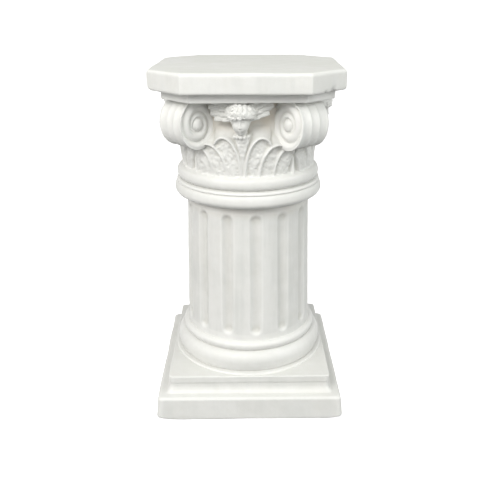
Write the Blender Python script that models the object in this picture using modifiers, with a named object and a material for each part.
"""Column pedestal cast in one piece.

A stepped square plinth carries two round mouldings, a shaft with round-ended flutes, neck rings and
a carved capital. The capital has a volute on each corner and, on each side, a fan of leaf lobes under
a winged child's head. An eight-sided slab closes the top.
"""
import math

import bmesh
import bpy
from mathutils import Matrix, Vector

# Lower slab of the plinth
SLAB_HEIGHT = 0.0434
SLAB_LEDGE = 0.0146
SLAB_DRAFT = 0.0029
SLAB_ROUND = 0.005

# Upper tier of the plinth: a flat band over a cove
BAND_HEIGHT = 0.0132
BAND_MARGIN = 0.0035
COVE_HEIGHT = 0.0192
COVE_FLARE = 0.005
SLAB_CORNER = 0.004
TIER_CORNER = 0.002

# Round mouldings under the shaft, each set out from the one above it
FOOT_HEIGHT = 0.0077
FOOT_OUT = 0.0044
LOWER_TORUS_HEIGHT = 0.0335
LOWER_TORUS_OUT = 0.0112
UPPER_TORUS_HEIGHT = 0.0183
UPPER_TORUS_OUT = 0.0093
TORUS_CREASE = 0.0035

# Shaft and flutes
SHAFT_HEIGHT = 0.2418
SHAFT_RADIUS = 0.1151
SHAFT_TAPER = 0.0064
FLUTE_COUNT = 14
FLUTE_WIDTH = 0.0245
FLUTE_DEPTH = 0.0052
FLUTE_FOOT_GAP = 0.009
FLUTE_HEAD_GAP = 0.012
FLUTE_TURN = math.radians(6.4)

# Neck rings, measured out from the head of the shaft
NECK_TORUS_HEIGHT = 0.0248
NECK_TORUS_OUT = 0.0213
NECK_FILLET_HEIGHT = 0.0045
NECK_FILLET_OUT = 0.0178
NECK_GROOVE_HEIGHT = 0.006
NECK_GROOVE_OUT = 0.0113
NECK_RING_HEIGHT = 0.022
NECK_RING_OUT = 0.0143

# Bell of the capital, behind the carving
BELL_HEIGHT = 0.1189
BELL_OUT = 0.001
BELL_HOLLOW = 0.012
BELL_STEPS = 3
CARVING_TURN = math.radians(-4.5)

# Corner volutes
VOLUTE_REACH = 0.0525
VOLUTE_HALF_WIDTH = 0.035
VOLUTE_HALF_HEIGHT = 0.0395
VOLUTE_THICKNESS = 0.060
VOLUTE_WEB = 0.040
WEB_CHAMFER = 0.005
WEB_DROP = 0.0315
VOLUTE_CHANNELS = 3
VOLUTE_CHANNEL_DEPTH = 0.0022
SCROLL_TURNS = 1.75
SCROLL_START = math.radians(80)
SCROLL_RIB = 0.0038
SCROLL_SUNK = 0.0035
SCROLL_NARROWING = 0.35
EYE_RADIUS = 0.0075

# Leaf lobes: start angle and span in degrees from the middle of a side, and rise
LOBES = (
    (1.5, 13.5, 0.068),
    (13.0, 15.5, 0.055),
    (25.5, 11.5, 0.048),
)
LOBE_HOOK = math.radians(125)
LOBE_RELIEF = 0.0055
LOBE_SUNK = 0.006
LOBE_TIP_OUT = 0.008
CORNER_LEAF = (0.0045, 0.007, 0.024)

# Winged head, collar and leaf wedge
HEAD_HALF_WIDTH = 0.017
HEAD_HALF_HEIGHT = 0.0205
HEAD_OUT = 0.013
HEAD_DROP = 0.0277
HAIR_HALF_WIDTH = 0.026
HAIR_HALF_HEIGHT = 0.0175
HAIR_BACK = 0.0034
HAIR_LAP = 0.0009
WING_LENGTH = 0.032
WING_HEIGHT = 0.020
WING_OUT = 0.006
WING_DROP = 0.015
WING_NARROWING = 0.75
WING_ROOT = 0.014
WING_RISE = math.radians(8)
WING_FEATHERS = 3
COLLAR_HALF_WIDTH = 0.014
COLLAR_HALF_HEIGHT = 0.0045
WEDGE_HALF_WIDTH = 0.010
WEDGE_HEIGHT = 0.030

# Top slabs: a small one, and the large one that stands out over it
ABACUS_HEIGHT = 0.0143
ABACUS_OUT = 0.0275
ABACUS_CHAMFER = 0.0464
ABACUS_ROUND = 0.002
TOP_HEIGHT = 0.0324
TOP_OUT = 0.0184
TOP_CHAMFER = 0.0577
TOP_ROUND = 0.0035
TOP_TURN = math.radians(-1.2)

# How finely the round forms are divided
TURN_STEPS = 36
VOLUTE_STEPS = 16
SCROLL_STEPS = 9
LOBE_STEPS = 5
FLUTE_STEPS = 20
FLUTE_END_STEPS = 2
BULGE_STEPS = 3
MERGE = 0.00005
OVERLAP = 0.003

# Heights of the stack, from the floor up
slab_top = SLAB_HEIGHT
cove_top = slab_top + COVE_HEIGHT
plinth_top = cove_top + BAND_HEIGHT
foot_top = plinth_top + FOOT_HEIGHT
lower_torus_top = foot_top + LOWER_TORUS_HEIGHT
shaft_foot = lower_torus_top + UPPER_TORUS_HEIGHT
shaft_head = shaft_foot + SHAFT_HEIGHT
neck_torus_top = shaft_head + NECK_TORUS_HEIGHT
fillet_top = neck_torus_top + NECK_FILLET_HEIGHT
groove_top = fillet_top + NECK_GROOVE_HEIGHT
bell_foot = groove_top + NECK_RING_HEIGHT
abacus_foot = bell_foot + BELL_HEIGHT
top_foot = abacus_foot + ABACUS_HEIGHT
pedestal_top = top_foot + TOP_HEIGHT

# Radii and half widths that follow from the shaft
upper_torus_radius = SHAFT_RADIUS + UPPER_TORUS_OUT
lower_torus_radius = upper_torus_radius + LOWER_TORUS_OUT
foot_radius = lower_torus_radius + FOOT_OUT
band_half = foot_radius + BAND_MARGIN
ledge_half = band_half + COVE_FLARE
slab_half = ledge_half + SLAB_LEDGE
neck_radius = SHAFT_RADIUS - SHAFT_TAPER
bell_radius = neck_radius + BELL_OUT
waist_radius = bell_radius - BELL_HOLLOW
abacus_half = bell_radius + ABACUS_OUT
top_half = abacus_half + TOP_OUT


def clear_scene():
    for old in list(bpy.data.objects):
        bpy.data.objects.remove(old, do_unlink=True)


def new_collection(name):
    collection = bpy.data.collections.new(name)
    bpy.context.scene.collection.children.link(collection)
    return collection


def add_object(name, mesh, collection):
    obj = bpy.data.objects.new(name, mesh)
    collection.objects.link(obj)
    return obj


def settle(obj, collection):
    """Replace an object by a plain mesh of what its modifiers or its bevel give."""
    bpy.context.view_layer.update()
    shown = obj.evaluated_get(bpy.context.evaluated_depsgraph_get())
    mesh = bpy.data.meshes.new_from_object(shown)
    mesh.transform(obj.matrix_world)
    name = obj.name
    bpy.data.objects.remove(obj, do_unlink=True)
    welded = bmesh.new()
    welded.from_mesh(mesh)
    bmesh.ops.remove_doubles(welded, verts=welded.verts, dist=MERGE)
    bmesh.ops.recalc_face_normals(welded, faces=welded.faces)
    welded.to_mesh(mesh)
    welded.free()
    return add_object(name, mesh, collection)


def turned(name, profile, steps, collection):
    """Turn a profile of (radius, height) points, listed from top to bottom, about Z."""
    mesh = bpy.data.meshes.new(name)
    points = [(radius, 0.0, height) for radius, height in profile]
    edges = [(index, index + 1) for index in range(len(points) - 1)]
    mesh.from_pydata(points, edges, [])
    obj = add_object(name, mesh, collection)
    screw = obj.modifiers.new("turn", "SCREW")
    screw.steps = steps
    screw.render_steps = steps
    screw.use_merge_vertices = True
    screw.merge_threshold = MERGE
    return settle(obj, collection)


def bulge(top, belly, bottom, steps=BULGE_STEPS):
    """Profile of a moulding: two quarter ellipses through its widest point, from top to bottom."""
    points = []
    for step in range(steps + 1):
        angle = math.pi / 2 * step / steps
        points.append((top[0] + (belly[0] - top[0]) * math.sin(angle),
                       belly[1] + (top[1] - belly[1]) * math.cos(angle)))
    for step in range(1, steps + 1):
        angle = math.pi / 2 * step / steps
        points.append((bottom[0] + (belly[0] - bottom[0]) * math.cos(angle),
                       belly[1] - (belly[1] - bottom[1]) * math.sin(angle)))
    return points


def square_turned(name, profile, corner, collection):
    """Square block of a profile of (half width, height) points, with its upright edges rounded."""
    diagonal = [(half * math.sqrt(2), height) for half, height in profile]
    obj = turned(name, diagonal, 4, collection)
    obj.data.transform(Matrix.Rotation(math.radians(45), 4, "Z"))
    cut = bmesh.new()
    cut.from_mesh(obj.data)
    uprights = [edge for edge in cut.edges if is_corner(edge)]
    bmesh.ops.bevel(cut, geom=uprights, offset=corner, segments=2, profile=0.5, affect="EDGES")
    cut.to_mesh(obj.data)
    cut.free()
    return obj


def is_corner(edge):
    """True for an edge that climbs along a diagonal of the square, off the axis."""
    first, second = (vert.co for vert in edge.verts)
    on_diagonal = all(abs(abs(co.x) - abs(co.y)) < MERGE for co in (first, second))
    off_axis = min(abs(first.x), abs(second.x)) > MERGE
    return on_diagonal and off_axis and abs(first.z - second.z) > MERGE


def outline_block(name, outline, foot, head, edge_round, collection):
    """Upright block of a flat outline, with all its edges rounded."""
    curve = bpy.data.curves.new(name, "CURVE")
    curve.dimensions = "2D"
    curve.fill_mode = "BOTH"
    curve.extrude = (head - foot) / 2
    spline = curve.splines.new("POLY")
    spline.points.add(len(outline) - 1)
    for point, (x, y) in zip(spline.points, outline):
        point.co = (x, y, 0.0, 1.0)
    spline.use_cyclic_u = True
    obj = add_object(name, curve, collection)
    obj.location.z = (head + foot) / 2
    obj = settle(obj, collection)
    if edge_round > 0:
        soften = obj.modifiers.new("soften", "BEVEL")
        soften.width = edge_round
        soften.segments = 2
        soften.limit_method = "ANGLE"
        soften.angle_limit = math.radians(30)
        obj = settle(obj, collection)
    return obj


def cut_square(half, chamfer):
    """Outline of a square with its corners cut off, counter-clockwise."""
    outline = []
    for quarter in range(4):
        turn = Matrix.Rotation(math.radians(90) * quarter, 2)
        outline.append(tuple(turn @ Vector((half, -half + chamfer))))
        outline.append(tuple(turn @ Vector((half, half - chamfer))))
    return outline


def ball(name, radii, centre, segments, rings, collection):
    mesh = bpy.data.meshes.new(name)
    shape = bmesh.new()
    bmesh.ops.create_uvsphere(shape, u_segments=segments, v_segments=rings, radius=1.0)
    bmesh.ops.scale(shape, vec=radii, verts=shape.verts)
    bmesh.ops.translate(shape, vec=centre, verts=shape.verts)
    shape.to_mesh(mesh)
    shape.free()
    return add_object(name, mesh, collection)


def plinth(collection):
    foot_half = slab_half + SLAB_DRAFT
    slab = [(0.0, slab_top)]
    slab += bulge((slab_half - SLAB_ROUND, slab_top), (slab_half, slab_top - SLAB_ROUND),
                  (foot_half, SLAB_ROUND), steps=2)[:3]
    slab += [(foot_half, SLAB_ROUND), (foot_half - SLAB_ROUND / 2, 0.0), (0.0, 0.0)]
    tier = [(0.0, plinth_top), (band_half, plinth_top)]
    for step in range(BULGE_STEPS + 1):
        angle = math.pi / 2 * step / BULGE_STEPS
        tier.append((band_half + COVE_FLARE * (1 - math.cos(angle)),
                     cove_top - COVE_HEIGHT * math.sin(angle)))
    tier += [(ledge_half, slab_top - OVERLAP), (0.0, slab_top - OVERLAP)]
    square_turned("slab", slab, SLAB_CORNER, collection)
    square_turned("tier", tier, TIER_CORNER, collection)


def bell_surface(height):
    """Radius of the bell, which draws in over its lower half and then runs straight up."""
    share = min(max(height / (BELL_HEIGHT / 2), 0.0), 1.0)
    return bell_radius - BELL_HOLLOW * (1 - math.cos(math.pi * share)) / 2


def column_profile():
    """Half section of the round body, from inside the small top slab down into the plinth."""
    neck_torus = neck_radius + NECK_TORUS_OUT
    fillet = neck_radius + NECK_FILLET_OUT
    groove = neck_radius + NECK_GROOVE_OUT
    ring = neck_radius + NECK_RING_OUT
    bell_head = abacus_foot + OVERLAP
    points = [(0.0, bell_head), (waist_radius, bell_head)]
    for step in range(BELL_STEPS, 0, -1):
        height = BELL_HEIGHT / 2 * step / BELL_STEPS
        points.append((bell_surface(height), bell_foot + height))
    points += bulge((bell_radius, bell_foot), (ring, (bell_foot + groove_top) / 2),
                    (groove, groove_top))
    points += [(groove, fillet_top), (fillet, fillet_top)]
    points += bulge((fillet, neck_torus_top), (neck_torus, (neck_torus_top + shaft_head) / 2),
                    (neck_radius, shaft_head))
    points += bulge((SHAFT_RADIUS, shaft_foot),
                    (upper_torus_radius, (shaft_foot + lower_torus_top) / 2),
                    (upper_torus_radius - TORUS_CREASE, lower_torus_top))
    points += bulge((upper_torus_radius - TORUS_CREASE, lower_torus_top),
                    (lower_torus_radius, (lower_torus_top + foot_top) / 2),
                    (lower_torus_radius - TORUS_CREASE, foot_top))[1:]
    points += [(foot_radius, foot_top), (foot_radius, plinth_top - OVERLAP),
               (0.0, plinth_top - OVERLAP)]
    return points


def flute_cutters(collection):
    """One body for each flute: a capsule that leans with the taper of the shaft."""
    half = FLUTE_WIDTH / 2
    radius = (half ** 2 + FLUTE_DEPTH ** 2) / (2 * FLUTE_DEPTH)
    foot = shaft_foot + FLUTE_FOOT_GAP
    head = shaft_head - FLUTE_HEAD_GAP
    straight = (head - foot) / 2 - half
    end = radius * math.acos(1 - FLUTE_DEPTH / radius) / half
    profile = []
    for step in range(FLUTE_END_STEPS + 1):
        angle = math.pi / 2 * step / FLUTE_END_STEPS
        profile.append((radius * math.sin(angle), straight + end * radius * math.cos(angle)))
    profile += [(across, -height) for across, height in reversed(profile)]
    middle = (foot + head) / 2
    share = (middle - shaft_foot) / SHAFT_HEIGHT
    surface = SHAFT_RADIUS - SHAFT_TAPER * share
    lean = math.atan2(SHAFT_TAPER, SHAFT_HEIGHT)
    for index in range(FLUTE_COUNT):
        cutter = turned(f"flute_{index}", profile, FLUTE_STEPS, collection)
        angle = FLUTE_TURN + math.tau * index / FLUTE_COUNT
        place = (Matrix.Rotation(angle, 4, "Z")
                 @ Matrix.Translation((0.0, -(surface + radius - FLUTE_DEPTH), middle))
                 @ Matrix.Rotation(-lean, 4, "X"))
        cutter.data.transform(place)


def volute(collection):
    """Thick scroll disc with its axis along X, at the middle of its own length."""
    half = VOLUTE_THICKNESS / 2
    face = half - SCROLL_SUNK
    profile = [(0.0, face), (VOLUTE_HALF_WIDTH - SCROLL_RIB, face),
               (VOLUTE_HALF_WIDTH - SCROLL_RIB / 2, half)]
    divisions = VOLUTE_CHANNELS * 2
    for step in range(divisions + 1):
        across = half - SCROLL_RIB / 2 - (VOLUTE_THICKNESS - SCROLL_RIB) * step / divisions
        sunk = VOLUTE_CHANNEL_DEPTH * (step % 2)
        profile.append((VOLUTE_HALF_WIDTH - sunk, across))
    profile += [(VOLUTE_HALF_WIDTH - SCROLL_RIB / 2, -half),
                (VOLUTE_HALF_WIDTH - SCROLL_RIB, -face), (0.0, -face)]
    disc = turned("volute", profile, VOLUTE_STEPS, collection)
    disc.data.transform(Matrix.Rotation(math.radians(90), 4, "Y"))
    pieces = [disc]
    for side in (-1, 1):
        pieces.append(scroll_rib(side, face, collection))
        pieces.append(ball("eye", (EYE_RADIUS, EYE_RADIUS, EYE_RADIUS),
                           (side * face, 0.0, 0.0), 8, 4, collection))
    web = outline_block("web", cut_square(VOLUTE_WEB / 2, WEB_CHAMFER), -WEB_DROP,
                        VOLUTE_HALF_WIDTH, 0.0, collection)
    web.data.transform(Matrix.Translation((0.0, VOLUTE_HALF_WIDTH - WEB_CHAMFER * 2, 0.0)))
    pieces.append(web)
    taller = Matrix.Diagonal((1.0, 1.0, VOLUTE_HALF_HEIGHT / VOLUTE_HALF_WIDTH, 1.0))
    for piece in pieces:
        piece.data.transform(taller)
    return pieces


def scroll_rib(side, face, collection):
    """Raised band that winds in from the rim of the disc to its eye."""
    outer = VOLUTE_HALF_WIDTH - SCROLL_RIB * 1.5
    inner = EYE_RADIUS
    middle = face - SCROLL_RIB / 4
    count = int(SCROLL_TURNS * SCROLL_STEPS)
    curve = bpy.data.curves.new("scroll", "CURVE")
    curve.dimensions = "3D"
    curve.bevel_depth = SCROLL_RIB
    curve.bevel_resolution = 0
    curve.use_fill_caps = True
    spline = curve.splines.new("POLY")
    spline.points.add(count)
    for index in range(count + 1):
        share = index / count
        angle = SCROLL_START - math.tau * SCROLL_TURNS * share
        radius = outer + (inner - outer) * share
        spline.points[index].co = (side * middle, radius * math.cos(angle),
                                   radius * math.sin(angle), 1.0)
        spline.points[index].radius = 1.0 - SCROLL_NARROWING * share
    return settle(add_object("scroll", curve, collection), collection)


def lobe_point(start, span, rise, hook, share, relief):
    """Point of a lobe. Share 1 lies on its rim and share 0 at the foot of its far side.

    A relief of None puts the point inside the bell, behind the leaf.
    """
    angle = math.radians(start + span - span * math.cos(hook) * share)
    height = rise * math.sin(hook) * share - LOBE_SUNK
    if relief is None:
        radius = bell_surface(height) - OVERLAP
    else:
        radius = bell_radius + relief + LOBE_TIP_OUT * max(height, 0.0) / rise
    return (radius * math.sin(angle), -radius * math.cos(angle), bell_foot + height)


def lobe(side, start, span, rise, collection):
    """Leaf lobe: a fan of quarter ellipses with a raised rim over a sunk middle."""
    floor = LOBE_RELIEF / 3
    rows = ((1.0, LOBE_RELIEF), (0.90, LOBE_RELIEF), (0.82, floor), (0.30, None), (1.0, None))
    shape = bmesh.new()
    grid = []
    for share, relief in rows:
        row = []
        for step in range(LOBE_STEPS + 1):
            hook = LOBE_HOOK * step / LOBE_STEPS
            point = lobe_point(start, span, rise, hook, share, relief)
            row.append(shape.verts.new((side * point[0], point[1], point[2])))
        grid.append(row)
    for lower, upper in zip(grid, grid[1:] + grid[:1]):
        for step in range(LOBE_STEPS):
            shape.faces.new((lower[step], lower[step + 1], upper[step + 1], upper[step]))
    shape.faces.new([row[0] for row in grid])
    shape.faces.new([row[-1] for row in reversed(grid)])
    bmesh.ops.recalc_face_normals(shape, faces=shape.faces)
    mesh = bpy.data.meshes.new("lobe")
    shape.to_mesh(mesh)
    shape.free()
    return add_object("lobe", mesh, collection)


def wing(side, collection):
    """Short wing: a straight front edge over a row of feather tips."""
    outline = [(0.0, WING_HEIGHT / 2), (WING_LENGTH, WING_HEIGHT / 2)]
    for feather in range(WING_FEATHERS):
        for step in (1, 2, 3):
            share = (feather + step / 3) / WING_FEATHERS
            notch = 0.0 if step == 3 else WING_HEIGHT / 8
            outline.append((WING_LENGTH * (1 - WING_NARROWING * share),
                            WING_HEIGHT * (0.5 - share) - notch * (1 - share)))
    outline.append((0.0, -WING_HEIGHT / 2))
    points = [(side * x, y) for x, y in outline]
    front = bell_radius + WING_OUT
    plate = outline_block("wing", points, waist_radius - OVERLAP - front, 0.0, 0.0, collection)
    angle = side * math.atan2(WING_ROOT + WING_LENGTH / 2, front)
    place = (Matrix.Rotation(angle, 4, "Z")
             @ Matrix.Translation((-side * WING_LENGTH / 2, -front,
                                   abacus_foot - WING_DROP))
             @ Matrix.Rotation(math.radians(90), 4, "X")
             @ Matrix.Rotation(side * WING_RISE, 4, "Z"))
    plate.data.transform(place)
    return plate


def winged_head(collection):
    """Head with a cap of hair, a wing on each side, and a collar over a leaf wedge."""
    level = abacus_foot - HEAD_DROP
    front = bell_radius + HEAD_OUT
    face = ball("head", (HEAD_HALF_WIDTH, HEAD_HALF_WIDTH, HEAD_HALF_HEIGHT),
                (0.0, -front, level), 8, 5, collection)
    hair = ball("hair", (HAIR_HALF_WIDTH, front - waist_radius, HAIR_HALF_HEIGHT),
                (0.0, HAIR_BACK - front, abacus_foot + HAIR_LAP - HAIR_HALF_HEIGHT),
                8, 6, collection)
    collar_level = level - HEAD_HALF_HEIGHT - COLLAR_HALF_HEIGHT / 2
    collar = ball("collar", (COLLAR_HALF_WIDTH, BELL_HOLLOW + OVERLAP, COLLAR_HALF_HEIGHT),
                  (0.0, -bell_radius, collar_level), 8, 4, collection)
    mesh = bpy.data.meshes.new("wedge")
    shape = bmesh.new()
    bmesh.ops.create_cone(shape, cap_ends=True, segments=6, radius1=WEDGE_HALF_WIDTH / 5,
                          radius2=WEDGE_HALF_WIDTH, depth=WEDGE_HEIGHT)
    bmesh.ops.rotate(shape, matrix=Matrix.Rotation(math.radians(30), 3, "Z"), verts=shape.verts)
    wedge_level = collar_level - (WEDGE_HEIGHT + COLLAR_HALF_HEIGHT) / 2
    bmesh.ops.translate(shape, vec=(0.0, -bell_radius, wedge_level), verts=shape.verts)
    shape.to_mesh(mesh)
    shape.free()
    wedge = add_object("wedge", mesh, collection)
    return [face, hair, collar, wedge, wing(-1, collection), wing(1, collection)]


def place_copies(pieces, transforms, collection):
    """Put a copy of every piece at every transform, and remove the originals."""
    for place in transforms:
        for piece in pieces:
            mesh = piece.data.copy()
            mesh.transform(place)
            add_object(piece.name, mesh, collection)
    for piece in pieces:
        bpy.data.objects.remove(piece, do_unlink=True)


def carving(collection):
    """Volutes on the corners, and a leaf fan with a winged head on each side."""
    quarters = [Matrix.Rotation(CARVING_TURN + math.radians(90) * quarter, 4, "Z")
                for quarter in range(4)]
    out = bell_radius + VOLUTE_REACH - VOLUTE_HALF_WIDTH
    level = abacus_foot - VOLUTE_HALF_HEIGHT + OVERLAP / 2
    corner = Matrix.Rotation(math.radians(45), 4, "Z") @ Matrix.Translation((0.0, -out, level))
    place_copies(volute(collection), [turn @ corner for turn in quarters], collection)
    leaf = ball("corner_leaf", CORNER_LEAF, (0.0, -bell_radius, bell_foot), 8, 5, collection)
    leaf.data.transform(Matrix.Rotation(math.radians(45), 4, "Z"))
    place_copies([leaf], quarters, collection)
    side_pieces = winged_head(collection)
    for side in (-1, 1):
        for start, span, rise in LOBES:
            side_pieces.append(lobe(side, start, span, rise, collection))
    place_copies(side_pieces, quarters, collection)


def plaster():
    material = bpy.data.materials.new("white_plaster")
    material.use_nodes = True
    shader = material.node_tree.nodes["Principled BSDF"]
    shader.inputs["Base Color"].default_value = (0.82, 0.82, 0.79, 1.0)
    shader.inputs["Roughness"].default_value = 0.62
    shader.inputs["Metallic"].default_value = 0.0
    return material


def combine(obj, operation, collection):
    boolean = obj.modifiers.new(collection.name, "BOOLEAN")
    boolean.operation = operation
    boolean.operand_type = "COLLECTION"
    boolean.collection = collection
    boolean.solver = "EXACT"


def hide_helpers(collection):
    for helper in collection.objects:
        helper.hide_render = True
        helper.display_type = "WIRE"


def main():
    clear_scene()
    model = new_collection("column_pedestal")
    cutters = new_collection("flute_cutters")
    additions = new_collection("joined_forms")
    pedestal = turned("pedestal", column_profile(), TURN_STEPS, model)
    flute_cutters(cutters)
    plinth(additions)
    turn = Matrix.Rotation(TOP_TURN, 4, "Z")
    for name, half, chamfer, foot, head, edge in (
            ("abacus", abacus_half, ABACUS_CHAMFER, abacus_foot, top_foot + OVERLAP, ABACUS_ROUND),
            ("top", top_half, TOP_CHAMFER, top_foot, pedestal_top, TOP_ROUND)):
        slab = outline_block(name, cut_square(half, chamfer), foot, head, edge, additions)
        slab.data.transform(turn)
    carving(additions)
    combine(pedestal, "DIFFERENCE", cutters)
    combine(pedestal, "UNION", additions)
    hide_helpers(cutters)
    hide_helpers(additions)
    pedestal.data.materials.append(plaster())
    pedestal.data.shade_smooth()
    pedestal.data.set_sharp_from_angle(angle=math.radians(35))


main()
